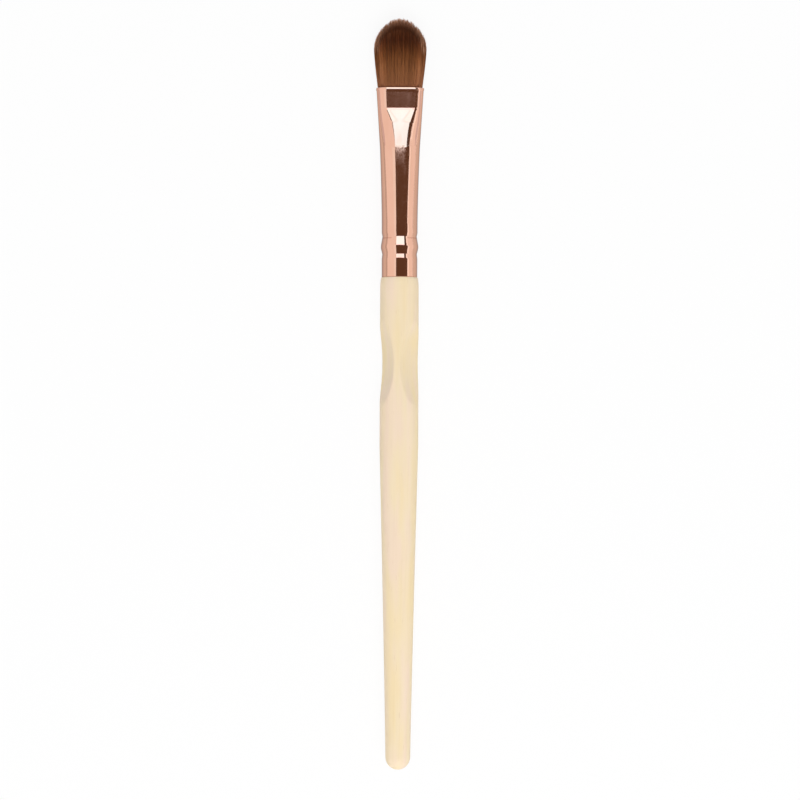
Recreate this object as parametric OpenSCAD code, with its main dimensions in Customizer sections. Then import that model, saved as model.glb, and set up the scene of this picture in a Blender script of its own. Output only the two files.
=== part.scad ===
// Eyeshadow brush lying on its side: a three-scooped bamboo handle, a flattened
// metal ferrule and a domed tuft of hair. Sizes in millimetres.
// The brush lies along Y with the hair towards +Y and the flat of the tuft facing up.

/* [Handle] */
// Length of handle that shows, from the butt to the ferrule
handle_l = 114.5; // [100:0.1:130]
// Diameter of the straight barrel, the thickest part of the handle
barrel_d = 9.0; // [8.6:0.1:11]
// Length of the straight barrel behind the finger scoops
barrel_l = 9.8; // [6:0.1:14]
// Diameter of the handle in front of the scoops, where it starts to round down to the ferrule
grip_d = 8.96; // [8.4:0.02:10]
// Height of the step from the ferrule up to the shoulder of the handle
step_h = 0.02; // [0.02:0.01:0.15]
// Length over which the shoulder rounds up to the grip
shoulder_l = 2.6; // [1:0.1:5]
// Diameter at the butt, before its rounded end
butt_d = 5.8; // [4.5:0.1:7]
// Length of the rounded butt
butt_dome_l = 3.0; // [2:0.1:5]

/* [Finger scoops] */
// Distance from the ferrule to the middle of the scoops
scoop_place = 20.0; // [16:0.1:24]
// Radius of each scoop along the handle
scoop_r = 28.7; // [20:0.1:40]
// Depth of each scoop below the barrel
scoop_depth = 1.65; // [0.8:0.05:2]

/* [Ferrule] */
// Length of the ferrule
ferrule_l = 44.1; // [43.4:0.1:50]
// Thickness of the metal
wall = 0.3; // [0.2:0.05:0.4]
// Outer diameter of the round end
collar_d = 8.28; // [8.1:0.02:8.3]
// Outer diameter where the round tube starts to flatten
tube_d = 8.34; // [8.2:0.02:8.4]
// Outer width of the flattened mouth
mouth_w = 11.05; // [10:0.05:12]
// Outer thickness of the flattened mouth
mouth_t = 3.7; // [3.4:0.1:4.4]
// Length from the mouth to where the tube is round again
flare_l = 32.0; // [30:0.1:33]
// Length of the parallel land behind the mouth
land_l = 5.05; // [3:0.05:6]
// Width of the flat on each side of the land
flat_w = 4.4; // [3:0.1:5]
// Length of the steep slope behind the land
slope_l = 9.0; // [7:0.1:11]
// Outer thickness at the end of the steep slope
slope_t = 7.2; // [6.8:0.1:7.4]
// Outer width at the end of the steep slope
slope_w = 9.28; // [9:0.02:9.5]
// Length over which the turned lip swells behind the mouth
lip_l = 0.45; // [0.4:0.05:1]
// Height of the lip above the land
lip_h = 0.08; // [0.05:0.01:0.2]

/* [Crimp] */
// Distance from the round end to the crimped groove
groove_place = 9.45; // [9.2:0.05:10]
// Depth of the crimped groove
groove_depth = 0.17; // [0.1:0.01:0.2]
// Distance from the round end to the raised bead
bead_place = 7.0; // [6.6:0.05:7.4]
// Height of the raised bead
bead_h = 0.2; // [0.1:0.01:0.3]
// Distance from the round end to the shallow ring beside the bead
ring_place = 5.4; // [5:0.05:5.6]
// Depth of the shallow ring
ring_depth = 0.1; // [0.03:0.01:0.12]

/* [Tenon] */
// Length of the tenon on the handle, inside the ferrule
tenon_l = 13.6; // [11:0.1:14]
// Chamfer on the tenon's tip
tenon_chamfer = 0.6; // [0.3:0.1:1.2]

/* [Hair] */
// Length of hair that shows, from the mouth to the tip of the dome
hair_l = 16.4; // [13:0.1:20]
// Width of the tuft at its widest
belly_w = 12.4; // [11.4:0.05:13]
// Height of the widest place above the mouth
belly_h = 9.4; // [8:0.1:11]
// Thickness that the tuft gains half way up
bulge_t = 1.5; // [1:0.1:2.5]
// Thickness of the tuft at its tip
tip_t = 2.4; // [1.6:0.1:3]
// Length by which the shortest hairs fall short of their neighbours
rag_l = 0.4; // [0:0.1:1]
// Columns of strands across the width
strand_columns = 36; // [30:1:36]
// Rows of strands through the thickness
strand_rows = 11; // [10:1:11]

/* [Root of the hair] */
// Depth below the mouth at which the bundle's bound neck starts
neck_depth = 13.4; // [12.8:0.1:14.5]
// Length of the neck, down to the root of the bundle
neck_l = 3.6; // [2.4:0.1:5]
// Length over which the bundle draws in to its neck
draw_l = 2.4; // [1.5:0.1:4]
// How far each side of the neck draws in
neck_in = 0.55; // [0.5:0.05:0.8]
// Width of the thread binding along the neck
binding_l = 1.8; // [1:0.1:2.2]
// Thickness of the thread binding
binding_t = 0.4; // [0.2:0.05:0.45]
// Length of the glue plug behind the root
plug_l = 4.0; // [2:0.1:5]

/* [Hidden] */

// Clearance between a piece and the metal, or between glue and wood
seat_gap = 0.04;
// Rounding at the round end of the ferrule
end_round = 0.12;
// Overrun of a cut past the surface that it cuts
overrun = 1;
// Number of scoops, and the turn of one of them from the top of the lying brush
scoop_count = 3;
scoop_turn = 53;
// Power of the curve by which the handle thickens from its butt to its barrel
taper_power = 1.15;
// Power of the curve by which the round tube widens to the steep slope
flare_power = 1.5;
// Power of the curve by which the tuft widens to its belly
belly_power = 1.4;
// Power that shapes the dome across its width
dome_power = 0.56;
// Length behind the land over which the flats run out
fade_l = 3.0;
// Lengths over which the groove and the ring run out to the plain tube
groove_reach = 1.0;
ring_reach = 0.95;
// Length over which the lip drops back to the land
lip_drop_l = 0.25;
// Share of a slope of the crimp that is rounded off, at its high end
crown_share = 0.26;
// Sides of the ferrule's rings, and of the thread binding
ring_sides = 48;
binding_sides = 64;
// Steps of the curves on the handle
taper_steps = 16;
round_steps = 6;
// Steps of each ramp in the crimped stretch
crimp_steps = 5;

// Shares of a cell's width that a strand fills at its foot and at its bend
foot_share = 0.66;
bend_fill_share = 0.5;
// Share of a strand's length at which it bends
bend_share = 0.62;
// Shares of a cell by which a bend and a tip stray sideways
bend_stray_share = 0.16;
tip_stray_share = 0.3;
// Share of the dome's height that the outer faces of the tuft lack
face_drop_share = 0.55;
// Seed of the strands' strays
strand_seed = 11;

axis_h = barrel_d / 2;
total_l = handle_l + ferrule_l + hair_l;
mouth_at = handle_l + ferrule_l;
root_depth = neck_depth + neck_l;
scoop_floor = barrel_d / 2 - scoop_depth;
scoop_half_l = sqrt(pow(scoop_r, 2) - pow(scoop_r - scoop_depth, 2));
barrel_end = scoop_place + scoop_half_l + barrel_l;
shoulder_d = collar_d + 2 * step_h;

// Lays the upright brush down along Y, with its barrel on the ground
module lay_down() {
    translate([0, -total_l / 2, axis_h]) rotate([-90, 0, 0]) children();
}

// A value part of the way between two others
function between(low, high, part) = low + (high - low) * part;

// Depth at which the steep slope ends and the gentle run to the round tube starts
run_start = land_l + slope_l;

// Outer width of the ferrule at a depth behind the mouth, without lip, bead and grooves
function tube_w(depth) =
    depth < run_start ? between(mouth_w, slope_w, depth / run_start)
    : depth < flare_l ? between(tube_d, slope_w, pow((flare_l - depth) / (flare_l - run_start), flare_power))
    : between(tube_d, collar_d, (depth - flare_l) / (ferrule_l - flare_l));

// Outer thickness of the ferrule at the same depth
function tube_t(depth) =
    depth < land_l ? mouth_t
    : depth < run_start ? between(mouth_t, slope_t, (depth - land_l) / slope_l)
    : depth < flare_l ? between(slope_t, tube_d, (depth - run_start) / (flare_l - run_start))
    : tube_w(depth);

// Half length of the flat on each wide side
function tube_half_flat(depth) = flat_w / 2 * max(0, min(1, 1 - (depth - land_l) / fade_l));

// Turns of the crimp: distance from the round end, and height above the plain tube
crimp_turns = [
    [groove_place + groove_reach, 0],
    [groove_place, -groove_depth],
    [bead_place, bead_h],
    [ring_place, -ring_depth],
    [ring_place - ring_reach, 0]
];

// Share of a slope's height at a share of its length from its low end: straight, then rounded off
function rise(part) =
    let (steep = 1 / (1 - crown_share / 2))
    part < 1 - crown_share ? steep * part : 1 - steep * pow(1 - part, 2) / (2 * crown_share);

// Height of the crimp at a distance from the round end
function crimp(from_end) =
    let (passed = [for (k = [1:len(crimp_turns) - 1])
        if (from_end < crimp_turns[k - 1].x && from_end >= crimp_turns[k].x) k])
    len(passed) == 0 ? 0
    : let (
        far = crimp_turns[passed[0] - 1],
        near = crimp_turns[passed[0]],
        part = (far.x - from_end) / (far.x - near.x)
    )
    near.y > far.y ? between(far.y, near.y, rise(part)) : between(near.y, far.y, rise(1 - part));

// Height of the lip: it swells from the mouth and drops back to the land
function lip(depth) =
    depth < lip_l ? lip_h * sin(90 * depth / lip_l)
    : depth < lip_l + lip_drop_l ? lip_h * pow(cos(90 * (depth - lip_l) / lip_drop_l), 2)
    : 0;

// How far the crimp and the lip stand proud of the plain tube
function relief(depth) = crimp(ferrule_l - depth) + lip(depth);

// One ring of the ferrule, inset from the outer surface: two half ellipses joined by flats
function tube_ring(depth, inset) =
    let (
        half_flat = tube_half_flat(depth),
        round_w = tube_w(depth) / 2 - half_flat + relief(depth) - inset,
        half_t = tube_t(depth) / 2 + relief(depth) - inset
    )
    [for (k = [0:ring_sides - 1])
        let (turn = (k + 0.5) * 360 / ring_sides)
        [half_flat * sign(cos(turn)) + round_w * cos(turn), half_t * sin(turn), mouth_at - depth]];

// Depths of the rings, closer together where the tube turns
lip_shares = [0, 0.5, 1];
land_shares = [0.5, 1];
fade_shares = [0.33, 0.67, 1];
slope_shares = [0.33, 0.67, 1];
run_shares = [0.2, 0.4, 0.6, 0.8, 1];
tube_depths = concat(
    [for (s = lip_shares) lip_l * s],
    [lip_l + lip_drop_l],
    [for (s = land_shares) land_l * s],
    [for (s = fade_shares) land_l + fade_l * s],
    [for (s = slope_shares) between(land_l + fade_l, run_start, s)],
    [for (s = run_shares) between(run_start, flare_l, s)],
    [ferrule_l - crimp_turns[0].x],
    [for (k = [1:len(crimp_turns) - 1]) for (step = [1:crimp_steps])
        ferrule_l - between(crimp_turns[k - 1].x, crimp_turns[k].x, step / crimp_steps)],
    [ferrule_l - end_round, ferrule_l]
);

// The faces between ring a and ring b, which have the same number of points
function band(a, b, count) =
    [for (k = [0:count - 1])
        let (next = (k + 1) % count)
        each [[a * count + k, b * count + k, b * count + next],
              [a * count + k, b * count + next, a * count + next]]];

// The ferrule: rings up the outside from its rounded end to the mouth, and back down the inside
module ferrule() {
    last = len(tube_depths) - 1;
    outside = [for (k = [last:-1:0])
        each tube_ring(tube_depths[k], max(0, end_round - ferrule_l + tube_depths[k]))];
    inside = [for (depth = tube_depths) each tube_ring(depth, wall)];
    rings = 2 * (last + 1);
    color([0.86, 0.66, 0.58])
        polyhedron(concat(outside, inside),
                   [for (a = [0:rings - 1]) each band(a, (a + 1) % rings, ring_sides)]);
}

// A solid that fills the ferrule between two depths, clear of its wall
module ferrule_fill(depths, gap) {
    last = len(depths) - 1;
    body = [for (depth = depths) each tube_ring(depth, wall + gap)];
    front = last * ring_sides;
    caps = [
        [for (k = [0:ring_sides - 1]) k],
        [for (k = [ring_sides - 1:-1:0]) front + k]
    ];
    polyhedron(body, concat([for (a = [0:last - 1]) each band(a, a + 1, ring_sides)], caps));
}

// The tenon clears the crimped groove, even in a tube that is no wider there than at its round end
groove_bore_d = (collar_d - 2 * (groove_depth + wall)) * cos(180 / ring_sides);
tenon_d = groove_bore_d - 2 * seat_gap;

// The turned outline of the handle: radius and height, from the butt to the tenon's tip
butt_curve = [for (k = [0:round_steps])
    let (turn = 90 * k / round_steps)
    [butt_d / 2 * sin(turn), butt_dome_l * (1 - cos(turn))]];
taper_curve = [for (k = [1:taper_steps])
    let (part = k / taper_steps)
    [between(butt_d, barrel_d, pow(part, taper_power)) / 2,
     between(butt_dome_l, handle_l - barrel_end, part)]];
shoulder_curve = [for (k = [0:round_steps])
    let (turn = 90 * k / round_steps)
    [between(shoulder_d, grip_d, cos(turn)) / 2, handle_l - shoulder_l * (1 - sin(turn))]];
barrel_front = [barrel_d / 2, handle_l - barrel_end + barrel_l];
tenon_outline = [
    [tenon_d / 2, handle_l],
    [tenon_d / 2, handle_l + tenon_l - tenon_chamfer],
    [tenon_d / 2 - tenon_chamfer, handle_l + tenon_l],
    [0, handle_l + tenon_l]
];

// The handle: one turned piece with three finger scoops milled across it
module handle() {
    scoop_w = 2 * sqrt(pow(barrel_d / 2, 2) - pow(scoop_floor, 2));
    color([0.93, 0.85, 0.7])
        difference() {
            rotate_extrude($fn = 96)
                polygon(concat(butt_curve, taper_curve, [barrel_front], shoulder_curve, tenon_outline));
            for (k = [0:scoop_count - 1])
                rotate([0, 0, scoop_turn - 90 + 360 * k / scoop_count])
                    translate([scoop_floor + scoop_r, 0, handle_l - scoop_place])
                        rotate([90, 0, 0])
                            cylinder(r = scoop_r, h = scoop_w + overrun, center = true, $fn = 192);
        }
}

// A point of the bundle's section: u runs from -1 to 1 across the width, v through the thickness.
// The power keeps the section flat as far as the ferrule is, and inside it beyond that.
function section_point(u, v, half_flat, round_w, half_t) =
    let (power = 2 + 2 * sqrt(2) * half_flat / round_w)
    [u * (half_flat + round_w * sqrt(1 - v * v / 2)),
     v * half_t * sqrt(1 - pow(abs(u), power) / 2)];

// Half width and half thickness of the tuft at a height above the mouth
root_half_w = tube_w(0) / 2 - wall - seat_gap;
root_half_t = tube_t(0) / 2 - wall - seat_gap;
function tuft_half_w(height) =
    between(root_half_w, belly_w / 2, 1 - pow(1 - min(height / belly_h, 1), belly_power));
function tuft_half_t(height) =
    between(root_half_t, tip_t / 2, height / hair_l) + bulge_t / 2 * sin(180 * height / hair_l);

// Height of the dome over a point of the section
function dome_height(u, v) =
    belly_h + (hair_l - belly_h) * pow(1 - u * u, dome_power) * sqrt(1 - face_drop_share * v * v);

// A point of the tuft, with its height above the mouth
function tuft_point(u, v, height) =
    let (
        half_flat = flat_w / 2,
        flat = section_point(u, v, half_flat, tuft_half_w(height) - half_flat, tuft_half_t(height))
    )
    [flat.x, flat.y, mouth_at + height];

// A point of the bundle inside the ferrule: it fills the bore down to the neck, which stays even
function bundle_point(u, v, depth) =
    let (
        bore_depth = min(depth, neck_depth),
        inset = wall + seat_gap + (depth < neck_depth ? 0 : neck_in),
        half_flat = tube_half_flat(bore_depth),
        flat = section_point(u, v, half_flat, tube_w(bore_depth) / 2 - half_flat - inset,
                             tube_t(bore_depth) / 2 - inset)
    )
    [flat.x, flat.y, mouth_at - depth];

// Places on the strand grid, which has one cell for each strand
function column_u(i) = 2 * i / strand_columns - 1;
function row_v(j) = 2 * j / strand_rows - 1;
grid_row = strand_columns + 1;
grid_points = [for (j = [0:strand_rows]) for (i = [0:strand_columns])
    tuft_point(column_u(i), row_v(j), 0)];

// The grid's edge, once round
edge_places = concat(
    [for (i = [0:strand_columns - 1]) [i, 0]],
    [for (j = [0:strand_rows - 1]) [strand_columns, j]],
    [for (i = [strand_columns:-1:1]) [i, strand_rows]],
    [for (j = [strand_rows:-1:1]) [0, j]]
);
edge_count = len(edge_places);

// Above the mouth the strands spread, so that the outer ones reach the tuft's outline
function spread(place, cells) = max(-1, min(1, place * cells / (cells - 1)));

// The corners of a small square round a place on the grid
corner_signs = [[-1, -1], [1, -1], [1, 1], [-1, 1]];
corners = len(corner_signs);
function strand_ring(u, v, height, fill) =
    [for (c = corner_signs)
        tuft_point(u + c.x * fill / strand_columns, v + c.y * fill / strand_rows, height)];

// Random strays of the strands, the same on each run
strand_count = strand_columns * strand_rows;
stray_u = rands(-1, 1, strand_count, strand_seed);
stray_v = rands(-1, 1, strand_count, strand_seed + 1);
stray_tip = rands(0, 1, strand_count, strand_seed + 2);

// The points of one strand: the corners of its foot and of its bend, and its tip
strand_size = 2 * corners + 1;
function strand_points(i, j) =
    let (
        n = j * strand_columns + i,
        u = column_u(i + 0.5),
        v = row_v(j + 0.5),
        du = stray_u[n] / strand_columns,
        dv = stray_v[n] / strand_rows,
        bend_u = spread(u + du * bend_stray_share, strand_columns),
        bend_v = spread(v + dv * bend_stray_share, strand_rows),
        tip_u = spread(u + du * tip_stray_share, strand_columns),
        tip_v = spread(v + dv * tip_stray_share, strand_rows),
        height = dome_height(u, v) - rag_l * stray_tip[n]
    )
    concat(
        strand_ring(u, v, 0, foot_share),
        strand_ring(bend_u, bend_v, height * bend_share, bend_fill_share),
        [tuft_point(tip_u, tip_v, height)]
    );

// The tuft: the bundle inside the ferrule and, grown from its top face, one strand for each cell
module bristle_tuft() {
    bundle_depths = [root_depth, neck_depth, neck_depth - draw_l, land_l + fade_l, land_l];
    bundle = [for (depth = bundle_depths) for (place = edge_places)
        bundle_point(column_u(place.x), row_v(place.y), depth)];
    strands = [for (j = [0:strand_rows - 1]) for (i = [0:strand_columns - 1])
        each strand_points(i, j)];
    root_centre = len(bundle);
    grid_start = root_centre + 1;
    strand_start = grid_start + len(grid_points);
    last_ring = (len(bundle_depths) - 1) * edge_count;

    root_face = [for (k = [0:edge_count - 1]) [root_centre, k, (k + 1) % edge_count]];
    bundle_faces = [for (a = [1:len(bundle_depths) - 1]) each band(a - 1, a, edge_count)];
    mouth_band = [for (k = [0:edge_count - 1])
        let (
            next = (k + 1) % edge_count,
            here = grid_start + edge_places[k].y * grid_row + edge_places[k].x,
            there = grid_start + edge_places[next].y * grid_row + edge_places[next].x
        )
        each [[last_ring + k, here, there], [last_ring + k, there, last_ring + next]]];
    cell_faces = [for (j = [0:strand_rows - 1]) for (i = [0:strand_columns - 1])
        let (
            low = grid_start + j * grid_row + i,
            cell = [low, low + 1, low + 1 + grid_row, low + grid_row],
            foot = strand_start + strand_size * (j * strand_columns + i),
            bend = foot + corners,
            tip = bend + corners
        )
        for (k = [0:corners - 1])
            let (next = (k + 1) % corners)
            each [[cell[k], foot + k, foot + next], [cell[k], foot + next, cell[next]],
                  [foot + k, bend + k, bend + next], [foot + k, bend + next, foot + next],
                  [bend + k, tip, bend + next]]];

    color([0.36, 0.22, 0.14])
        polyhedron(concat(bundle, [[0, 0, mouth_at - root_depth]], grid_points, strands),
                   concat(root_face, bundle_faces, mouth_band, cell_faces));
}

// An oval, seen along the brush
module oval(w, t) {
    polygon([for (k = [0:binding_sides - 1])
        let (turn = 360 * k / binding_sides)
        [w / 2 * cos(turn), t / 2 * sin(turn)]]);
}

// The thread wound round the middle of the bundle's neck
module root_binding() {
    neck_w = tube_w(neck_depth) - 2 * (wall + neck_in);
    neck_t = tube_t(neck_depth) - 2 * (wall + neck_in);
    color([0.9, 0.88, 0.8])
        translate([0, 0, mouth_at - neck_depth - (neck_l + binding_l) / 2])
            linear_extrude(binding_l)
                difference() {
                    oval(neck_w + 2 * binding_t, neck_t + 2 * binding_t);
                    oval(neck_w, neck_t);
                }
}

// The hardened glue behind the root of the bundle
module root_glue() {
    color([0.85, 0.78, 0.6])
        ferrule_fill([root_depth + plug_l, root_depth], seat_gap);
}

// The glue between the tenon and the round end of the ferrule, up to the shallow ring
module tenon_glue() {
    bore_d = (collar_d - 2 * wall) * cos(180 / ring_sides);
    glue_l = ring_place - ring_reach;
    color([0.9, 0.85, 0.7])
        translate([0, 0, handle_l])
            difference() {
                cylinder(d = bore_d - seat_gap, h = glue_l, $fn = 96);
                translate([0, 0, -overrun])
                    cylinder(d = tenon_d + seat_gap, h = glue_l + 2 * overrun, $fn = 96);
            }
}

lay_down() handle();
lay_down() ferrule();
lay_down() bristle_tuft();
lay_down() root_binding();
lay_down() root_glue();
lay_down() tenon_glue();
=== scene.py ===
import math
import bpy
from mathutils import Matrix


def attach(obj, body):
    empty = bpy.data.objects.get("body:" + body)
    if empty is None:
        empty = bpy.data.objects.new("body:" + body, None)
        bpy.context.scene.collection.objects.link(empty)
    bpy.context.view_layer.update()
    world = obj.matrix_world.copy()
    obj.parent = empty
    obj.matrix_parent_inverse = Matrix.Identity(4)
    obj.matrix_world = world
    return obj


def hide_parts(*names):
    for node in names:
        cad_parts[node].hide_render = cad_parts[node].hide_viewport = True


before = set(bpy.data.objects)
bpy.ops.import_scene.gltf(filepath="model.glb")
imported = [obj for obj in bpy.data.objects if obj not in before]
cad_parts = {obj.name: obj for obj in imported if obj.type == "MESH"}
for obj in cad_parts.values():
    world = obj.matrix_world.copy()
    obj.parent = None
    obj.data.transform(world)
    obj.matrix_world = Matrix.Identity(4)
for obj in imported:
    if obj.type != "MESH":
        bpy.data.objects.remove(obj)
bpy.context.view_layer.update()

from types import SimpleNamespace

import bpy
import numpy as np

# Lengths are in millimetres, and become metres when a mesh is made. Only the stage is written in metres
MM = 0.001
# Edges that turn by more degrees than this stay sharp
SHARP_ANGLE = 50

# Handle
HANDLE_L = 114.5
BARREL_D = 9.0
BARREL_L = 9.8
GRIP_D = 8.96
STEP_H = 0.02
SHOULDER_L = 2.6
BUTT_D = 5.8
BUTT_DOME_L = 3.0
TAPER_POWER = 1.15
TENON_D = 7.24
TENON_L = 13.6
TENON_CHAMFER = 0.6
EDGE_ROUND = 0.02

# Finger scoops
SCOOP_COUNT = 3
SCOOP_TURN = 53
SCOOP_PLACE = 20.0
SCOOP_R = 28.7
SCOOP_DEPTH = 1.65
SCOOP_FLOOR = BARREL_D / 2 - SCOOP_DEPTH
SCOOP_HALF_L = math.sqrt(SCOOP_R**2 - (SCOOP_R - SCOOP_DEPTH) ** 2)
SCOOP_EDGE = 0.22
SCOOP_MARGIN = 2
BARREL_END = SCOOP_PLACE + SCOOP_HALF_L + BARREL_L

# Ferrule
FERRULE_L = 44.1
WALL = 0.3
COLLAR_D = 8.28
TUBE_D = 8.34
MOUTH_W = 11.05
MOUTH_T = 3.7
FLARE_L = 32.0
FLARE_POWER = 1.5
LAND_L = 5.05
FLAT_W = 4.4
SLOPE_L = 9.0
SLOPE_T = 7.2
SLOPE_W = 9.28
RUN_START = LAND_L + SLOPE_L
LIP_L = 0.49
LIP_DROP_L = 0.26
LIP_H = 0.08
FADE_L = 3.0
GROOVE_PLACE = 9.5
GROOVE_DEPTH = 0.17
GROOVE_REACH = 1.0
BEAD_PLACE = 7.0
BEAD_H = 0.2
RING_PLACE = 5.4
RING_DEPTH = 0.13
RING_REACH = 1.25
# Turns of the crimp: distance from the round end, and height above the plain tube
CRIMP_TURNS = [
    (GROOVE_PLACE + GROOVE_REACH, 0),
    (GROOVE_PLACE, -GROOVE_DEPTH),
    (BEAD_PLACE, BEAD_H),
    (RING_PLACE, -RING_DEPTH),
    (RING_PLACE - RING_REACH, 0),
]
CROWN_SHARE = 0.26
LAND_EASE = 0.3
RUN_EASE = 0.12
SLOPE_BOW_SHARE = 0.1
# Bend behind the steep slope: it wanders round the tube in a bow, and in waves of a height, count and turn
BEND_REACH = 3
BEND_BOW = 0.4
BEND_BOW_POWER = 16
BEND_BOW_DROP_SHARE = 0.7
BEND_WAVES = [(0.09, 19, 0.6), (0.07, 33, 2.2)]
RIM_R = 0.1
INNER_EDGE = 0.02
END_ROUND = 0.16
SEAT_GAP = 0.04
# Marks on the metal: where the rubbed land ends, places behind the bend and how scuffed it is there, and the
# crease of the crimp, darkened with painted shade. Round the tube they fade in between two sines or cosines
# of its turn
RUB_FADE = 0.4
SCUFF_PLACES = (-1.1, 0, 1.2, 4.5)
SCUFF_SHARES = (0, 1, 0.33, 0)
WIDE_SIDE_SINES = (0.955, 0.985)
CREASE_PLACE = 9.05
CREASE_REACH = 0.24
NARROW_SIDE_COSINES = (0.42, 0.48)

# Hair
HAIR_L = 16.4
BELLY_W = 12.4
BELLY_H = 9.4
BELLY_POWER = 1.4
DOME_POWER = 0.56
BULGE_T = 1.5
TIP_T = 2.4
FACE_DROP_SHARE = 0.55
NECK_DEPTH = 13.4
NECK_L = 3.6
NECK_IN = 0.55
NECK_DRAW_L = 2.4
CORE_SHARE = 0.91
CORE_IN = 1.1
PALE_L = 2.0
# How far out in the tuft's section a root or a tip may stand
ROOT_LIMIT_SHARE = 0.998
TIP_LIMIT_SHARE = 0.999

AXIS_H = BARREL_D / 2
TOTAL_L = HANDLE_L + FERRULE_L + HAIR_L
MOUTH_AT = HANDLE_L + FERRULE_L
SHOULDER_D = COLLAR_D + 2 * STEP_H


def lay_down(points):
    """Upright points in millimetres, height last, as points of the lying brush in metres."""
    p = np.asarray(points, float).reshape(-1, 3)
    return np.column_stack([p[:, 0], p[:, 2] - TOTAL_L / 2, AXIS_H - p[:, 1]]) * MM


def mesh_object(name, points, faces, body="root", smooth=True):
    """A mesh object from points in metres, which rides on a body if one is named."""
    mesh = bpy.data.meshes.new(name)
    mesh.from_pydata([tuple(p) for p in points], [], faces)
    mesh.validate()
    if smooth:
        mesh.shade_smooth()
    piece = bpy.data.objects.new(name, mesh)
    bpy.context.scene.collection.objects.link(piece)
    if body:
        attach(piece, body)
    return piece


def store(piece, label, values):
    """A value for each point of a mesh, which its material reads by the label."""
    layer = piece.data.attributes.new(label, "FLOAT", "POINT")
    layer.data.foreach_set("value", values.astype(np.float32))


def band_faces(count, start_a, start_b):
    """Faces between two rings of the same number of points."""
    return [
        (start_a + k, start_a + (k + 1) % count, start_b + (k + 1) % count, start_b + k)
        for k in range(count)
    ]


def soft_min(a, b, blend):
    """The lesser of two values, with the corner between them rounded off."""
    near = np.maximum(blend - np.abs(a - b), 0) / blend
    return np.minimum(a, b) - near**2 * blend / 4


# Handle: a turned stick with three scoops milled across it

def handle_outline():
    """Heights and radii along the handle, from the butt to the tenon's tip."""
    # Domed butt
    turn = np.linspace(0.02, 1, 24) * np.pi / 2
    heights = list(BUTT_DOME_L * (1 - np.cos(turn)))
    radii = list(BUTT_D / 2 * np.sin(turn))
    # Slow taper
    part = np.linspace(0, 1, 121)[1:]
    heights += list(BUTT_DOME_L + (HANDLE_L - BARREL_END - BUTT_DOME_L) * part)
    radii += list((BUTT_D + (BARREL_D - BUTT_D) * part ** TAPER_POWER) / 2)
    # Straight barrel
    barrel_front = HANDLE_L - BARREL_END + BARREL_L
    barrel = np.linspace(HANDLE_L - BARREL_END, barrel_front, 15)[1:]
    heights += list(barrel)
    radii += [BARREL_D / 2] * len(barrel)
    # Slimmer grip
    part = np.linspace(0, 1, 61)[1:]
    heights += list(barrel_front + (HANDLE_L - SHOULDER_L - barrel_front) * part)
    radii += list((BARREL_D + (GRIP_D - BARREL_D) * part) / 2)
    # Rounded shoulder, which ends in the step to the ferrule
    turn = np.linspace(0, 1, 25)[1:] * np.pi / 2
    heights += list(HANDLE_L - SHOULDER_L * (1 - np.sin(turn)))
    edge = EDGE_ROUND * np.clip((np.sin(turn) - 1) * SHOULDER_L / EDGE_ROUND + 1, 0, 1) ** 2
    radii += list((SHOULDER_D + (GRIP_D - SHOULDER_D) * np.cos(turn)) / 2 - edge)
    # Tenon
    heights += [HANDLE_L, HANDLE_L + TENON_L - TENON_CHAMFER, HANDLE_L + TENON_L]
    radii += [TENON_D / 2, TENON_D / 2, TENON_D / 2 - TENON_CHAMFER]
    return np.array(heights), np.array(radii)


def scooped(reach, off, turns):
    """Reach of a ring of the handle after the scoops are cut, at a height from their middle."""
    least_facing = 0.2
    floor = SCOOP_FLOOR + SCOOP_R - math.sqrt(SCOOP_R**2 - off**2)
    for k in range(SCOOP_COUNT):
        # A scoop is level across the handle, so it cuts only the side that faces it
        facing = np.cos(turns - math.radians(SCOOP_TURN + 360 * k / SCOOP_COUNT))
        flat = np.where(facing > least_facing, floor / np.maximum(facing, least_facing), np.inf)
        reach = soft_min(reach, flat, SCOOP_EDGE)
    return reach


def make_handle():
    around = 128
    heights, radii = handle_outline()
    # The angle of a point from the top of the lying brush, towards +X
    turns = np.arange(around) * 2 * np.pi / around
    rows = []
    for height, radius in zip(heights, radii):
        reach = np.full(around, radius)
        off = height - (HANDLE_L - SCOOP_PLACE)
        if abs(off) < SCOOP_HALF_L + SCOOP_MARGIN:
            reach = scooped(reach, off, turns)
        rows.append(np.column_stack([reach * np.sin(turns), -reach * np.cos(turns),
                                     np.full(around, height)]))
    points = np.vstack(rows + [[0, 0, 0], [0, 0, HANDLE_L + TENON_L]])
    faces = []
    for a in range(len(rows) - 1):
        faces += band_faces(around, a * around, (a + 1) * around)
    butt, tip = len(points) - 2, len(points) - 1
    last = (len(rows) - 1) * around
    faces += [(butt, (k + 1) % around, k) for k in range(around)]
    faces += [(tip, last + k, last + (k + 1) % around) for k in range(around)]
    piece = mesh_object("handle_stick", lay_down(points), faces)
    piece.data.set_sharp_from_angle(angle=math.radians(SHARP_ANGLE))
    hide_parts("handle")
    return piece


# Ferrule: a drawn tube, pressed flat at its mouth and crimped near its round end

def tube_w(depth):
    """Outer width at a depth behind the mouth."""
    d = np.asarray(depth, float)
    pressed = MOUTH_W + (SLOPE_W - MOUTH_W) * d / RUN_START
    run = np.clip((FLARE_L - d) / (FLARE_L - RUN_START), 0, 1)
    flare = TUBE_D + (SLOPE_W - TUBE_D) * run**FLARE_POWER
    straight = TUBE_D + (COLLAR_D - TUBE_D) * (d - FLARE_L) / (FERRULE_L - FLARE_L)
    return np.where(d < RUN_START, pressed, np.where(d < FLARE_L, flare, straight))


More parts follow.
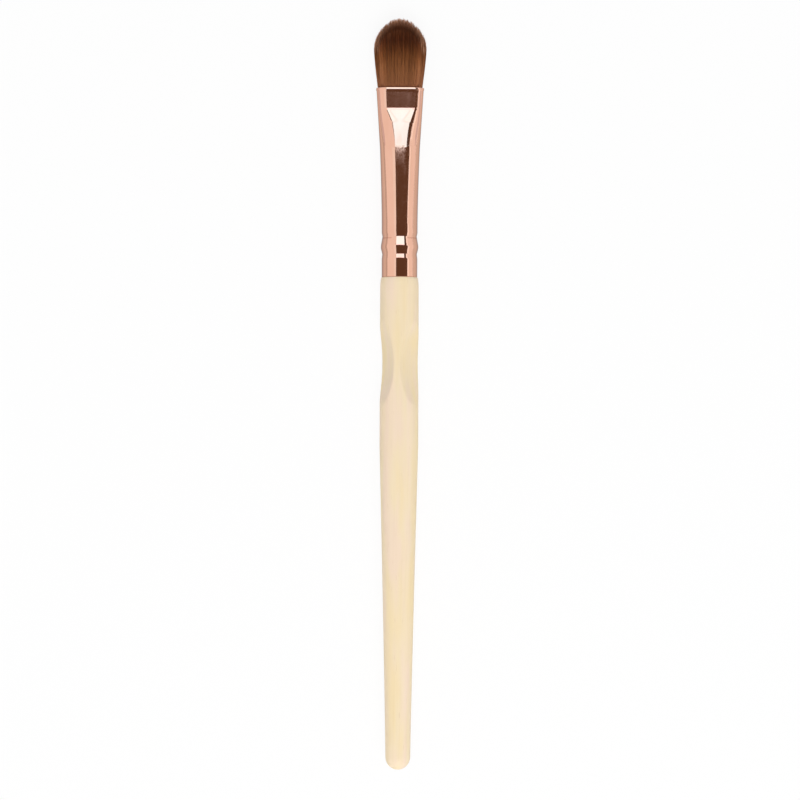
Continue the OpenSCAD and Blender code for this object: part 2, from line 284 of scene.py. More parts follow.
def tube_t(depth):
    """Outer thickness at a depth behind the mouth, with the bends of the press eased."""
    depth = np.asarray(depth, float)
    ease = np.where(depth < (LAND_L + RUN_START) / 2, LAND_EASE, RUN_EASE)
    shifts = np.linspace(-1, 1, 9)
    total = 0
    for shift in shifts:
        d = depth + shift * ease
        up = np.clip((d - LAND_L) / SLOPE_L, 0, 1)
        pressed = MOUTH_T + (SLOPE_T - MOUTH_T) * (up + SLOPE_BOW_SHARE * up * (1 - up))
        run = SLOPE_T + (TUBE_D - SLOPE_T) * (d - RUN_START) / (FLARE_L - RUN_START)
        total = total + np.where(d < RUN_START, pressed, np.where(d < FLARE_L, run, tube_w(d)))
    return total / len(shifts)


def bend_stray(turns, depth):
    """How far the bend behind the steep slope wanders from its place, round the tube."""
    near = max(0, 1 - abs(depth - RUN_START) / BEND_REACH)
    bow = BEND_BOW * (np.abs(np.sin(turns)) ** BEND_BOW_POWER - BEND_BOW_DROP_SHARE)
    waves = sum(height * np.sin(count * turns + turn) for height, count, turn in BEND_WAVES)
    return near * (bow + waves)


def tube_half_flat(depth):
    """Half length of the flat on each wide side."""
    return FLAT_W / 2 * np.clip(1 - (np.asarray(depth, float) - LAND_L) / FADE_L, 0, 1)


def rise(part):
    """Share of a slope's height at a share of its length from its low end: straight, then rounded off."""
    steep = 1 / (1 - CROWN_SHARE / 2)
    if part < 1 - CROWN_SHARE:
        return steep * part
    return 1 - steep * (1 - part) ** 2 / (2 * CROWN_SHARE)


def crimp(from_end):
    """Height of the crimp above the plain tube at a distance from the round end."""
    for far, near in zip(CRIMP_TURNS, CRIMP_TURNS[1:]):
        if near[0] <= from_end < far[0]:
            part = (far[0] - from_end) / (far[0] - near[0])
            if near[1] > far[1]:
                return far[1] + (near[1] - far[1]) * rise(part)
            return near[1] + (far[1] - near[1]) * rise(1 - part)
    return 0


def lip(depth):
    """Height of the lip: it swells from the mouth and drops back to the land."""
    if depth < LIP_L:
        return LIP_H * math.sin(math.pi / 2 * depth / LIP_L)
    drop = min((depth - LIP_L) / LIP_DROP_L, 1)
    return LIP_H * math.cos(math.pi / 2 * drop) ** 2


def ring_turns(around):
    """Angles round the ferrule of a ring's points, with none on either axis."""
    return (np.arange(around) + 0.5) * 2 * np.pi / around


def tube_ring(depth, inset, around):
    """One ring of the ferrule: two half ellipses joined by flats."""
    turns = ring_turns(around)
    proud = crimp(FERRULE_L - depth) + lip(depth) - inset
    half_flat = float(tube_half_flat(depth))
    round_w = float(tube_w(depth)) / 2 - half_flat + proud
    half_t = tube_t(depth - bend_stray(turns, depth)) / 2 + proud
    x = half_flat * np.sign(np.cos(turns)) + round_w * np.cos(turns)
    return np.column_stack([x, half_t * np.sin(turns), np.full(around, MOUTH_AT - depth)])


def ferrule_rings():
    """Depth behind the mouth, and inset from the outside, of each ring of the ferrule's skin."""
    # The rings stand closest together this far on both sides of a bend
    close = 1
    crimp_rings = 12
    groove_start = FERRULE_L - GROOVE_PLACE - GROOVE_REACH
    crimp_depths = [FERRULE_L - far[0] + (far[0] - near[0]) * step / crimp_rings
                    for far, near in zip(CRIMP_TURNS, CRIMP_TURNS[1:]) for step in range(1, crimp_rings + 1)]
    depths = np.concatenate([
        np.linspace(RIM_R, LIP_L, 8),
        np.linspace(LIP_L, LIP_L + LIP_DROP_L, 6)[1:],
        np.linspace(LIP_L + LIP_DROP_L, LAND_L - close, 8)[1:],
        np.linspace(LAND_L - close, LAND_L + close, 14)[1:],
        np.linspace(LAND_L + close, RUN_START - close, 24)[1:],
        np.linspace(RUN_START - close, RUN_START + close, 36)[1:],
        np.linspace(RUN_START + close, groove_start, 48)[1:],
        crimp_depths,
        np.linspace(crimp_depths[-1], FERRULE_L - END_ROUND, 12)[1:],
    ])
    # Up the outside from the round end to the mouth, then back down the inside
    rounding = np.linspace(0, np.pi / 2, 6)
    rings = [(FERRULE_L - END_ROUND + END_ROUND * math.cos(t), END_ROUND * (1 - math.sin(t)))
             for t in rounding[:-1]]
    rings += [(d, 0) for d in depths[::-1]]
    rings += [(RIM_R * (1 - math.sin(t)), RIM_R * (1 - math.cos(t))) for t in rounding[1:]]
    rings += [(INNER_EDGE, WALL - INNER_EDGE), (3 * INNER_EDGE, WALL)]
    rings += [(d, WALL) for d in depths[2::2]]
    rings += [(FERRULE_L, WALL)]
    return rings


def mark_metal(piece, rings, around):
    """The pressed land is rubbed duller than the drawn tube, the bends behind the slopes are scuffed on both
    wide sides, and the crease of the crimp is darkened with painted shade on both narrow ones."""
    turns = ring_turns(around)
    wide_side = np.interp(np.abs(np.sin(turns)), WIDE_SIDE_SINES, (0, 1))
    narrow_side = np.interp(np.abs(np.cos(turns)), NARROW_SIDE_COSINES, (0, 1))
    rubbed, scuffed, crease_shade = [], [], []
    for d, _ in rings:
        off_bend = d - RUN_START - bend_stray(turns, d)
        off_crease = abs(FERRULE_L - d - CREASE_PLACE)
        rubbed.append(np.full(around, np.interp(d, (LAND_L - RUB_FADE, LAND_L + RUB_FADE), (1, 0))))
        scuffed.append(np.interp(off_bend, SCUFF_PLACES, SCUFF_SHARES) * wide_side)
        crease_shade.append(np.interp(off_crease, (0, CREASE_REACH), (1, 0)) * narrow_side)
    for label, values in (("rubbed", rubbed), ("scuffed", scuffed), ("crease_shade", crease_shade)):
        store(piece, label, np.concatenate(values))


def make_ferrule():
    around = 288
    rings = ferrule_rings()
    points = np.vstack([tube_ring(d, inset, around) for d, inset in rings])
    faces = []
    for a in range(len(rings)):
        faces += band_faces(around, a * around, (a + 1) % len(rings) * around)
    piece = mesh_object("ferrule_tube", lay_down(points), faces)
    piece.data.set_sharp_from_angle(angle=math.radians(SHARP_ANGLE))
    mark_metal(piece, rings, around)
    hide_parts("ferrule")
    return piece


# Hair: thousands of tapered strands over an inner bundle, coloured dark as painted shade deep in the tuft

def section_point(u, v, half_flat, round_w, half_t):
    """A point of the bundle's section: u runs from -1 to 1 across the width, v through the thickness.
    The power keeps the section flat as far as the ferrule is, and inside it beyond that."""
    power = 2 + 2 * math.sqrt(2) * half_flat / round_w
    x = u * (half_flat + round_w * np.sqrt(1 - v * v / 2))
    y = v * half_t * np.sqrt(1 - np.abs(u) ** power / 2)
    return x, y


def tuft_point(u, v, height):
    """A point of the tuft at a height above the mouth, or of the bundle below it."""
    height = np.asarray(height, float)
    depth = np.clip(-height, 0, NECK_DEPTH)
    bore_w = tube_w(depth) / 2 - WALL - SEAT_GAP
    bore_t = tube_t(depth) / 2 - WALL - SEAT_GAP
    part = np.clip(height, 0, HAIR_L)
    swell = 1 - (1 - np.minimum(part / BELLY_H, 1)) ** BELLY_POWER
    half_w = np.where(height > 0, bore_w + (BELLY_W / 2 - bore_w) * swell, bore_w)
    thin = bore_t + (TIP_T / 2 - bore_t) * part / HAIR_L
    half_t = thin + BULGE_T / 2 * np.sin(np.pi * part / HAIR_L)
    half_flat = tube_half_flat(depth)
    x, y = section_point(u, v, half_flat, half_w - half_flat, half_t)
    return np.column_stack([x, y, MOUTH_AT + height])


def dome_height(u, v):
    """Height of the dome above the mouth at a place across and through the tuft."""
    arch = (1 - u * u) ** DOME_POWER * np.sqrt(1 - FACE_DROP_SHARE * v * v)
    return BELLY_H + (HAIR_L - BELLY_H) * arch


def held(places, limit):
    return np.clip(places, -limit, limit)


def plan_strands():
    """Where each strand's root and tip stand in the tuft's section, how high it ends, and its look."""
    rng = np.random.default_rng(11)
    columns, rows = 112, 30
    # How far roots, and then tips, stray from even rows
    jitter_u, jitter_v = 0.45, 0.4
    stray_u, stray_v = 0.006, 0.03
    # Locks: their width, how far their edges wander and their middles shift, and how strands lean to them
    clump_w, clump_wander, clump_shift = 0.07, 0.03, 0.02
    least_lean, most_lean, lean_share = 0.05, 0.5, 0.9
    # How far strands end below the dome: the least, and the most of their own, of a lock's and of loose ones
    least_short, own_short, lock_short, loose_short = 0.1, 0.5, 0.35, 2.2
    lock_count = 64
    loose_share = 0.06

    i, j = np.meshgrid(np.arange(columns), np.arange(rows))
    u = 2 * (i.ravel() + 0.5 + rng.uniform(-jitter_u, jitter_u, i.size)) / columns - 1
    v = 2 * (j.ravel() + 0.5 + rng.uniform(-jitter_v, jitter_v, i.size)) / rows - 1
    u = held(u * columns / (columns - 1), ROOT_LIMIT_SHARE)
    v = held(v * rows / (rows - 1), ROOT_LIMIT_SHARE)
    count = len(u)

    # Neighbours lean together towards their tips, so that the tuft parts into fine locks
    lock = np.round((u + clump_wander * np.sin(9 * v + 2)) / clump_w)
    lock_u = lock * clump_w + clump_shift * np.sin(lock * 12.9)
    lean = rng.uniform(least_lean, most_lean, count)
    off_u = rng.normal(0, stray_u, count)
    off_v = rng.normal(0, stray_v, count)
    wave = rng.uniform(0, 2 * np.pi, count)
    tip_u = held(u + lean * (lock_u - u) * lean_share + off_u, TIP_LIMIT_SHARE)
    tip_v = held(v + off_v, TIP_LIMIT_SHARE)

    lock_draw = rng.random(lock_count)[lock.astype(int) % lock_count]
    short = least_short + own_short * rng.random(count) ** 2 + lock_short * lock_draw**2
    short += np.where(rng.random(count) < loose_share, rng.uniform(0, loose_short, count), 0)
    paleness = rng.uniform(0.05, 1.15, count)

    # Tone: part of it shared by a lock, and part a strand's own
    lock_tone = np.sin(lock * 3.7 + 1) * 0.5 + np.sin(lock * 8.1 + 3 * v) * 0.5
    tone = np.clip(0.5 + 0.22 * lock_tone + rng.normal(0, 0.2, count), 0, 1)
    return SimpleNamespace(count=count, u=u, v=v, tip_u=tip_u, tip_v=tip_v, wave=wave,
                           height=dome_height(u, v) - short, paleness=paleness, tone=tone)


def make_hair():
    sides = 3
    strand_r = 0.05
    root_depth = 2.5
    lean_power, curl, edge_power = 1.6, 0.004, 6
    # Places along a strand from its root to its tip, and its thickness there
    shares = np.array([0, 0.16, 0.34, 0.52, 0.68, 0.82, 0.93, 1])
    thickness_shares = np.array([1, 1, 1, 1, 0.95, 0.85, 0.65, 0.25])
    hairs = plan_strands()
    points, rises, tones, ends, sideways = [], [], [], [], []
    for share, thick in zip(shares, thickness_shares):
        at = -root_depth + (hairs.height + root_depth) * share
        part = np.clip(at / np.maximum(hairs.height, 0.1), 0, 1) ** lean_power
        u = hairs.u + (hairs.tip_u - hairs.u) * part + curl * np.sin(hairs.wave + 5 * share) * part
        v = hairs.v + (hairs.tip_v - hairs.v) * part
        centre = tuft_point(held(u, TIP_LIMIT_SHARE), held(v, TIP_LIMIT_SHARE), at)
        # The outermost strands keep their whole thickness inside the tuft's outline
        centre[:, 0] -= np.sign(centre[:, 0]) * strand_r * np.abs(u) ** edge_power
        centre[:, 1] -= np.sign(centre[:, 1]) * strand_r * np.abs(v) ** edge_power
        below = dome_height(held(u, 1), 0) - at
        end = np.clip(1 - below / PALE_L, 0, 1) * hairs.paleness
        for side in range(sides):
            turn = hairs.wave + side * 2 * np.pi / sides
            ring = centre.copy()
            ring[:, 0] += strand_r * thick * np.cos(turn)
            ring[:, 1] += strand_r * thick * np.sin(turn)
            points.append(ring)
            rises.append(np.clip(at / HAIR_L, 0, 1))
            tones.append(hairs.tone)
            ends.append(end)
            sideways.append(np.abs(hairs.u))
    points = np.stack(points, 1).reshape(-1, 3)
    per = len(shares) * sides
    faces = []
    for k in range(hairs.count):
        start = k * per
        for a in range(len(shares) - 1):
            faces += band_faces(sides, start + a * sides, start + (a + 1) * sides)
        tip = start + (len(shares) - 1) * sides
        faces.append((tip, tip + 1, tip + 2))
    piece = mesh_object("hair_strands", lay_down(points), faces)
    for label, values in (("rise", rises), ("tone", tones), ("end", ends), ("side", sideways)):
        store(piece, label, np.stack(values, 1).reshape(-1))
    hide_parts("bristle_tuft")
    return piece


def make_hair_core():
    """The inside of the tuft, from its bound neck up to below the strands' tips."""
    around = 96
    turns = np.arange(around) * 2 * np.pi / around
    # Round the edge of the unit square, from a circle of directions
    reach = np.maximum(np.abs(np.cos(turns)), np.abs(np.sin(turns)))
    edge_u, edge_v = np.cos(turns) / reach, np.sin(turns) / reach
    drawn_in = -NECK_DEPTH + NECK_DRAW_L
    # Heights above the mouth, and the share of the tuft's section that is packed there
    levels = [(-NECK_DEPTH - NECK_L, 1), (-NECK_DEPTH, 1), (drawn_in, 1), (-LAND_L - FADE_L, 0.99),
              (-LAND_L, 0.98), (-1, 0.97), (1, 0.95), (4, 0.93), (7, CORE_SHARE)]
    rings = []
    for height, share in levels:
        ring = tuft_point(edge_u * share, edge_v * share, np.full(around, height))
        if height <= -NECK_DEPTH:
            full = np.array([float(tube_w(NECK_DEPTH)), float(tube_t(NECK_DEPTH))]) / 2 - WALL
            ring[:, 0] *= (full[0] - NECK_IN) / full[0]
            ring[:, 1] *= (full[1] - NECK_IN) / full[1]
        rings.append(ring)
    dome_shares = (0.97, 0.92, 0.84, 0.72, 0.58, 0.42, 0.25, 0.08)
    for share in dome_shares:
        u, v = edge_u * share, edge_v * share
        rings.append(tuft_point(u * CORE_SHARE, v * CORE_SHARE, dome_height(u, v) - CORE_IN))
    points = np.vstack(rings)
    faces = []
    for a in range(len(rings) - 1):
        faces += band_faces(around, a * around, (a + 1) * around)
    faces.append(tuple(range(around - 1, -1, -1)))
    last = (len(rings) - 1) * around
    faces.append(tuple(last + k for k in range(around)))
    piece = mesh_object("hair_bundle", lay_down(points), faces)
    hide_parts("bristle_tuft")
    return piece


# Materials

def clear_nodes(owner):
    owner.use_nodes = True
    owner.node_tree.nodes.clear()


def add(owner, kind, **settings):
    """A new node of a material or world, with its settings."""
    node = owner.node_tree.nodes.new(kind)
    for key, value in settings.items():
        setattr(node, key, value)
    return node


def link(owner, a, b):
    owner.node_tree.links.new(a, b)


def new_material(name, kind="ShaderNodeBsdfPrincipled"):
    """A material with one shader of a kind, and that shader."""
    material = bpy.data.materials.new(name)
    clear_nodes(material)
    out = add(material, "ShaderNodeOutputMaterial")
    shader = add(material, kind)
    link(material, shader.outputs[0], out.inputs["Surface"])
    return material, shader


def attribute(material, name):
    return add(material, "ShaderNodeAttribute", attribute_name=name).outputs["Fac"]


def mapped(material, scale):
    """Object coordinates scaled by a different amount along each axis, in millimetres."""
    where = add(material, "ShaderNodeTexCoord")
    mapping = add(material, "ShaderNodeMapping")
    mapping.inputs["Scale"].default_value = [s / MM for s in scale]
    link(material, where.outputs["Object"], mapping.inputs["Vector"])
    return mapping.outputs["Vector"]


def noise(material, scale, detail, roughness=0.55, distortion=0):
    node = add(material, "ShaderNodeTexNoise")
    node.inputs["Scale"].default_value = 1
    node.inputs["Detail"].default_value = detail
    node.inputs["Roughness"].default_value = roughness
    node.inputs["Distortion"].default_value = distortion
    link(material, mapped(material, scale), node.inputs["Vector"])
    return node.outputs["Fac"]


def ramp(material, source, stops):
    node = add(material, "ShaderNodeValToRGB")
    band = node.color_ramp
    while len(band.elements) < len(stops):
        band.elements.new(0.5)
    for element, (place, colour) in zip(band.elements, stops):
        element.position = place
        element.color = (*colour, 1) if hasattr(colour, "__len__") else (colour, colour, colour, 1)
    link(material, source, node.inputs["Fac"])
    return node.outputs["Color"]


def mix(material, factor, a, b, blend="MIX"):
    node = add(material, "ShaderNodeMix", data_type="RGBA", blend_type=blend)
    for socket, value in ((node.inputs[0], factor), (node.inputs[6], a), (node.inputs[7], b)):
        if isinstance(value, bpy.types.NodeSocket):
            link(material, value, socket)
        elif hasattr(value, "__len__"):
            socket.default_value = (*value, 1)
        else:
            socket.default_value = value
    return node.outputs[2]


def bumped(material, shader, height, distance):
    node = add(material, "ShaderNodeBump")
    node.inputs["Distance"].default_value = distance * MM
    link(material, height, node.inputs["Height"])
    link(material, node.outputs["Normal"], shader.inputs["Normal"])


def bamboo():
    m, shader = new_material("bamboo")
    drift = noise(m, (0.26, 0.035, 0.26), 2)
    base = ramp(m, drift, [
        (0.36, (0.92, 0.745, 0.45)), (0.49, (0.915, 0.75, 0.51)), (0.63, (0.92, 0.735, 0.56))])
    fibre = noise(m, (2.2, 0.04, 2.2), 4, 0.6, 0.2)
    fibres = ramp(m, fibre, [(0.3, (0.95, 0.93, 0.9)), (0.5, (1, 1, 1)), (0.7, (1, 0.99, 0.98))])
    colour = mix(m, 0.5, base, fibres, "MULTIPLY")
    blush = noise(m, (0.5, 0.06, 0.5), 2)
    tint = ramp(m, blush, [(0.42, (1, 1, 1)), (0.62, (1, 0.965, 0.94))])
    colour = mix(m, 0.3, colour, tint, "MULTIPLY")
    fleck = noise(m, (3.4, 0.3, 3.4), 1, 0.4)
    flecks = ramp(m, fleck, [(0.71, 0), (0.77, 1)])
    colour = mix(m, flecks, colour, mix(m, 0.2, colour, (0.62, 0.4, 0.2)))
    link(m, colour, shader.inputs["Base Color"])
    link(m, ramp(m, fibre, [(0.3, 0.5), (0.7, 0.4)]), shader.inputs["Roughness"])
    shader.inputs["Specular IOR Level"].default_value = 0.35
    shader.inputs["Coat Weight"].default_value = 0.2
    shader.inputs["Coat Roughness"].default_value = 0.3
    bumped(m, shader, fibre, 0.01)
    return m


def rose_gold():
    m, shader = new_material("rose_gold_metal")
    cloud = noise(m, (0.5, 0.2, 0.5), 3)
    base = ramp(m, cloud, [(0.3, (0.825, 0.465, 0.335)), (0.7, (0.855, 0.495, 0.365))])
    # Painted shade: the base colour is darker in the crease of the crimp on its narrow sides
    link(m, mix(m, attribute(m, "crease_shade"), base, (0.67, 0.34, 0.24)), shader.inputs["Base Color"])
    shader.inputs["Metallic"].default_value = 1
    shader.inputs["Specular Tint"].default_value = (0.5, 0.55, 0.6, 1)
    smear = noise(m, (1.2, 0.35, 1.2), 4, 0.6)
    drawn = ramp(m, smear, [(0.35, 0.045), (0.75, 0.1)])
    pressed = ramp(m, smear, [(0.35, 0.09), (0.75, 0.14)])
    smooth = mix(m, attribute(m, "rubbed"), drawn, pressed)
    scratch = noise(m, (5, 2, 5), 2)
    scratches = ramp(m, scratch, [(0.35, 0.3), (0.6, 1)])
    scuff = mix(m, 1.0, scratches, attribute(m, "scuffed"), "MULTIPLY")
    link(m, mix(m, scuff, smooth, (0.42, 0.42, 0.42)), shader.inputs["Roughness"])
    lines = noise(m, (0.3, 6, 0.3), 2)
    bumped(m, shader, lines, 0.0006)
    return m


def hair():
    m, shader = new_material("brown_hair")
    height = attribute(m, "rise")
    # Colour up the tuft, lighter near the metal and at the tips and dark over the dome: partly the fibres'
    # own two tones, and partly a painted highlight low on the tuft and painted shade where the dome turns
    # away from the light
    base = ramp(m, height, [
        (0.0, (0.335, 0.132, 0.056)), (0.25, (0.325, 0.125, 0.045)), (0.42, (0.255, 0.088, 0.026)),
        (0.55, (0.17, 0.05, 0.014)), (0.66, (0.116, 0.03, 0.009)), (0.84, (0.12, 0.032, 0.009)),
        (0.91, (0.155, 0.045, 0.014)), (1.0, (0.36, 0.145, 0.07))])
    # The strands differ most around the belly, and hardly at all near the metal
    shade = ramp(m, attribute(m, "tone"), [(0.0, 0.45), (0.5, 0.95), (1.0, 1.5)])
    contrast = ramp(m, height, [(0.12, 0.15), (0.36, 0.75), (0.55, 1.0), (0.8, 0.85)])
    colour = mix(m, contrast, base, mix(m, 1.0, base, shade, "MULTIPLY"))
    # Painted light: the outermost strands get painted shade, and those beside them a painted highlight
    side = ramp(m, attribute(m, "side"), [
        (0.7, (1, 1, 1)), (0.88, (1.16, 1.16, 1.25)), (0.95, (1.3, 1.36, 1.55)), (0.98, (1.3, 1.36, 1.5)),
        (1.0, (0.9, 0.85, 0.9))])
    colour = mix(m, 1.0, colour, side, "MULTIPLY")
    grain = noise(m, (4, 0.4, 4), 2)
    grains = ramp(m, grain, [(0.35, 0.72), (0.65, 1.2)])
    colour = mix(m, contrast, colour, mix(m, 1.0, colour, grains, "MULTIPLY"))
    tip = ramp(m, attribute(m, "end"), [(0.0, 0), (0.35, 0.5), (0.8, 1)])
    colour = mix(m, tip, colour, (0.95, 0.5, 0.3))
    link(m, colour, shader.inputs["Base Color"])
    streak = noise(m, (6, 0.3, 6), 2)
    link(m, ramp(m, streak, [(0.3, 0.42), (0.7, 0.6)]), shader.inputs["Roughness"])
    shader.inputs["Specular IOR Level"].default_value = 0.07
    return m


def hair_core():
    m, shader = new_material("hair_core")
    streak = noise(m, (5, 0.1, 5), 3)
    # The packed inner hair is coloured darker than the strands: painted shade deep in the tuft
    base = ramp(m, streak, [(0.3, (0.12, 0.038, 0.015)), (0.7, (0.2, 0.068, 0.028))])
    link(m, base, shader.inputs["Base Color"])
    shader.inputs["Roughness"].default_value = 0.7
    shader.inputs["Specular IOR Level"].default_value = 0.1
    bumped(m, shader, streak, 0.03)
    return m


def thread():
    m, shader = new_material("waxed_thread")
    turns = add(m, "ShaderNodeTexWave", wave_type="BANDS", bands_direction="Y")
    turns.inputs["Scale"].default_value = 1
    turns.inputs["Distortion"].default_value = 0.4
    link(m, mapped(m, (0.4, 1.6, 0.4)), turns.inputs["Vector"])
    base = ramp(m, turns.outputs["Fac"], [(0.0, (0.5, 0.45, 0.34)), (1.0, (0.82, 0.78, 0.68))])
    link(m, base, shader.inputs["Base Color"])
    shader.inputs["Roughness"].default_value = 0.6
    bumped(m, shader, turns.outputs["Fac"], 0.06)
    return m


def glue():
    m, shader = new_material("hardened_glue")
    cloud = noise(m, (0.8, 0.8, 0.8), 3)
    base = ramp(m, cloud, [(0.3, (0.62, 0.5, 0.3)), (0.7, (0.76, 0.66, 0.46))])
    link(m, base, shader.inputs["Base Color"])
    link(m, ramp(m, cloud, [(0.3, 0.3), (0.7, 0.5)]), shader.inputs["Roughness"])
    bumped(m, shader, cloud, 0.05)
    return m


def dress(piece, material):
    piece.data.materials.clear()
    piece.data.materials.append(material)


dress(make_handle(), bamboo())
dress(make_ferrule(), rose_gold())
dress(make_hair(), hair())
dress(make_hair_core(), hair_core())
# The pieces inside the ferrule keep their own meshes
hidden_materials = {"root_glue": glue(), "root_binding": thread()}
hidden_materials["tenon_glue"] = hidden_materials["root_glue"]
for node, material in hidden_materials.items():
    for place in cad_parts[node].material_slots:
        place.material = material


# Stage, in metres: a pale floor, a soft lamp, and the cards that the metal mirrors

# Heights of the cards over the brush, the nearest first, and of the low ones beside it, and the floor's drop
CARD_H = 0.7
BEHIND_H = 0.7005
FURTHER_H = 0.701
LOW_SHADE_H = 0.1
MOUTH_CARD_H = 0.012
NEAR_FLOOR_H = 0.0003
FLOOR_DROP = 0.00002
# Colours of the cards, and stops of colour from the near edge of the bright one to its far edge
DARK = (1, 0.58, 0.36)
PALE = (0.9, 0.97, 1)
FLOOR_SHADE_GREY = (1, 0.98, 0.94)
MOUTH_SHADE_ROSE = (0.92, 0.9, 0.98)
SOFT_BOX = [
    (0.07, (0.45, 0.49, 0.56)), (0.15, (0.4, 0.57, 0.7)), (0.32, (0.37, 0.58, 0.7)), (0.36, (0.35, 0.5, 0.6)),
    (0.39, (0.352, 0.5, 0.61)), (0.42, (0.36, 0.53, 0.66)), (0.465, (0.37, 0.56, 0.7)),
    (0.51, (0.37, 0.6, 0.76)), (0.6, (0.45, 0.55, 0.59))]


def oblong(left, near, right, far):
    return [(left, near), (right, near), (right, far), (left, far)]


def stage_plane(name, corners, z):
    """A level piece of the stage with corners at pairs of x and y."""
    piece = mesh_object(name, [(x, y, z) for x, y in corners], [tuple(range(len(corners)))],
                        body=None, smooth=False)
    return piece


def seen_share(owner, camera_share, mirror_share):
    """A share for rays from the camera, one for rays that a mirror or glass sends on, and else 0."""
    path = add(owner, "ShaderNodeLightPath")
    total = None
    for ray, share in (("Is Camera Ray", camera_share), ("Is Glossy Ray", mirror_share),
                       ("Is Transmission Ray", mirror_share)):
        part = add(owner, "ShaderNodeMath", operation="MULTIPLY")
        part.inputs[1].default_value = share
        link(owner, path.outputs[ray], part.inputs[0])
        if total is None:
            total = part.outputs[0]
            continue
        most = add(owner, "ShaderNodeMath", operation="MAXIMUM")
        link(owner, total, most.inputs[0])
        link(owner, part.outputs[0], most.inputs[1])
        total = most.outputs[0]
    return total


def blend_to_white(owner, out, plain, white, camera_share, mirror_share):
    """The plain shader where light falls, and the white one, by its shares, where it is seen or mirrored."""
    blend = add(owner, "ShaderNodeMixShader")
    link(owner, seen_share(owner, camera_share, mirror_share), blend.inputs[0])
    link(owner, plain.outputs[0], blend.inputs[1])
    link(owner, white.outputs[0], blend.inputs[2])
    link(owner, blend.outputs[0], out.inputs["Surface"])


def make_floor():
    m = bpy.data.materials.new("pale_floor")
    clear_nodes(m)
    out = add(m, "ShaderNodeOutputMaterial")
    paper = add(m, "ShaderNodeBsdfDiffuse")
    paper.inputs["Color"].default_value = (0.95, 0.95, 0.95, 1)
    white = add(m, "ShaderNodeEmission")
    white.inputs["Strength"].default_value = 1
    blend_to_white(m, out, paper, white, camera_share=0.9, mirror_share=0.3)
    dress(stage_plane("floor", oblong(-2, -2, 2, 2), -FLOOR_DROP), m)


def make_world():
    world = bpy.data.worlds.new("studio")
    bpy.context.scene.world = world
    clear_nodes(world)
    out = add(world, "ShaderNodeOutputWorld")
    soft = add(world, "ShaderNodeBackground")
    soft.inputs["Color"].default_value = (1, 1, 1, 1)
    soft.inputs["Strength"].default_value = 0.62
    white = add(world, "ShaderNodeBackground")
    white.inputs["Color"].default_value = (1, 1, 1, 1)
    blend_to_white(world, out, soft, white, camera_share=1, mirror_share=1)


def make_card(name, corners, z, colours, strength):
    """A card that only mirrors see: it shapes their reflections and lights nothing.
    It has one colour, or stops of colour from its near edge, 0, to its far edge, 1."""
    card = stage_plane(name, corners, z)
    m, glow = new_material(name, "ShaderNodeEmission")
    glow.inputs["Strength"].default_value = strength
    if isinstance(colours, tuple):
        glow.inputs["Color"].default_value = (*colours, 1)
    else:
        where = add(m, "ShaderNodeTexCoord")
        split = add(m, "ShaderNodeSeparateXYZ")
        link(m, where.outputs["Generated"], split.inputs[0])
        link(m, ramp(m, split.outputs["Y"], colours), glow.inputs["Color"])
    dress(card, m)
    card.visible_camera = False
    card.visible_diffuse = False
    card.visible_transmission = False
    card.visible_volume_scatter = False
    card.visible_shadow = False


def make_lamp(name, place, size, watts):
    data = bpy.data.lights.new(name, "AREA")
    data.shape = "SQUARE"
    data.size = size
    data.energy = watts
    lamp = bpy.data.objects.new(name, data)
    bpy.context.scene.collection.objects.link(lamp)
    lamp.location = place
    to_brush = -lamp.location
    lamp.rotation_euler = to_brush.to_track_quat("-Z", "Y").to_euler()
    lamp.visible_glossy = False


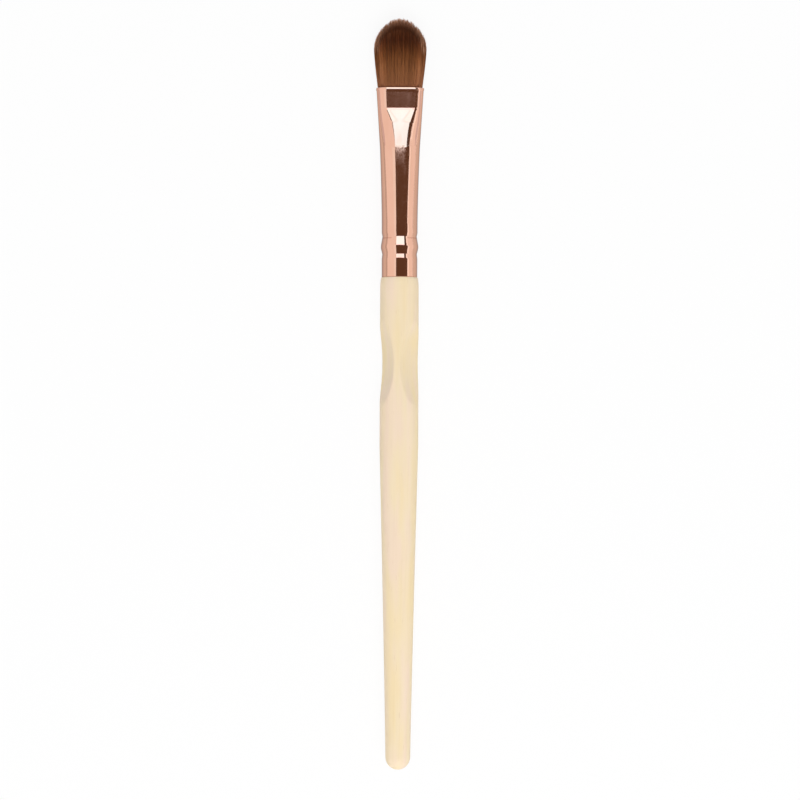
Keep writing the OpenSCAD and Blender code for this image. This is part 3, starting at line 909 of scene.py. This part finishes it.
make_floor()
make_world()
make_card("bright_card", [
    (-0.28, 0.205), (0.4, 0.205), (0.42, 0.3), (0.42, 0.38), (0.385, 0.42), (0.4, 0.46), (0.4, 0.72),
    (-0.295, 0.72), (-0.295, 0.46), (-0.27, 0.42), (-0.28, 0.4)], CARD_H, SOFT_BOX, 3.4)
make_card("dark_card", [
    (-0.285, -0.6), (0.9, -0.6), (0.9, 0.15), (0.84, 0.17), (0.82, 0.185), (0.76, 0.205),
    (-0.285, 0.205)], CARD_H, DARK, 0.12)
make_card("dark_card_side", [
    (-0.26, 0.205), (0.7, 0.205), (0.66, 0.31), (0.72, 0.37), (0.72, 0.4), (0.62, 0.43), (0.76, 0.47),
    (0.76, 0.72), (-0.325, 0.72), (-0.325, 0.46), (-0.29, 0.42), (-0.29, 0.38), (-0.28, 0.365),
    (-0.28, 0.335), (-0.32, 0.325), (-0.32, 0.27), (-0.26, 0.26)], BEHIND_H, DARK, 0.1)
make_card("pale_edge", [
    (0.5, -0.6), (1.4, -0.6), (1.4, 0.12), (1.2, 0.15), (1.0, 0.2), (0.9, 0.4), (0.94, 0.46), (0.94, 0.72),
    (0.5, 0.72)], FURTHER_H, PALE, 1.35)
make_card("pale_edge_left", oblong(-0.5, -0.6, -0.27, 0.2), FURTHER_H, PALE, 1.15)
# Grey cards just over the floor, which only the metal mirrors: painted shade of the floor round the brush,
# seen in its reflection
make_card("far_floor_shade", oblong(-1.9, -0.3, -0.045, 0.3), NEAR_FLOOR_H, FLOOR_SHADE_GREY, 0.6)
make_card("near_floor_shade", oblong(-0.045, -0.3, -0.0147, 0.3), NEAR_FLOOR_H, FLOOR_SHADE_GREY, 0.78)
make_card("under_floor_shade", oblong(-0.0147, -0.3, 0, 0.3), NEAR_FLOOR_H, FLOOR_SHADE_GREY, 0.74)
make_card("right_floor_shade", oblong(0, -0.3, 0.06, 0.3), NEAR_FLOOR_H, FLOOR_SHADE_GREY, 0.78)
make_card("low_floor_shade", oblong(-8, -2, -1.14, 2), LOW_SHADE_H, FLOOR_SHADE_GREY, 0.56)
# Rose-grey cards beside the mouth, which only the metal mirrors: painted shade of the floor beside the
# flattened mouth
make_card("mouth_card_left", oblong(-0.14, 0.062, -0.02, 0.13), MOUTH_CARD_H, MOUTH_SHADE_ROSE, 0.8)
make_card("mouth_card_right", oblong(0.02, 0.064, 0.14, 0.13), MOUTH_CARD_H, MOUTH_SHADE_ROSE, 0.8)
make_lamp("soft_lamp", place=(0.08, -0.55, 0.85), size=0.6, watts=5.0)

# Camera: straight down on the lying brush, as in the photograph

LENS = 100
SENSOR_W = 36
# Width of the frame at the height of the brush's axis, its shift from the origin, and its turn in degrees
FRAME_W = 186.2
FRAME_SHIFT = (0.225, -1.49)
FRAME_TURN = 0.2

camera = bpy.data.objects.new("camera", bpy.data.cameras.new("camera"))
bpy.context.scene.collection.objects.link(camera)
bpy.context.scene.camera = camera
camera.data.lens = LENS
camera.data.sensor_width = SENSOR_W
camera_h = FRAME_W * LENS / SENSOR_W + AXIS_H
camera.location = [place * MM for place in (*FRAME_SHIFT, camera_h)]
camera.rotation_euler = (0, 0, math.radians(FRAME_TURN))
bpy.context.scene.view_settings.view_transform = "Standard"
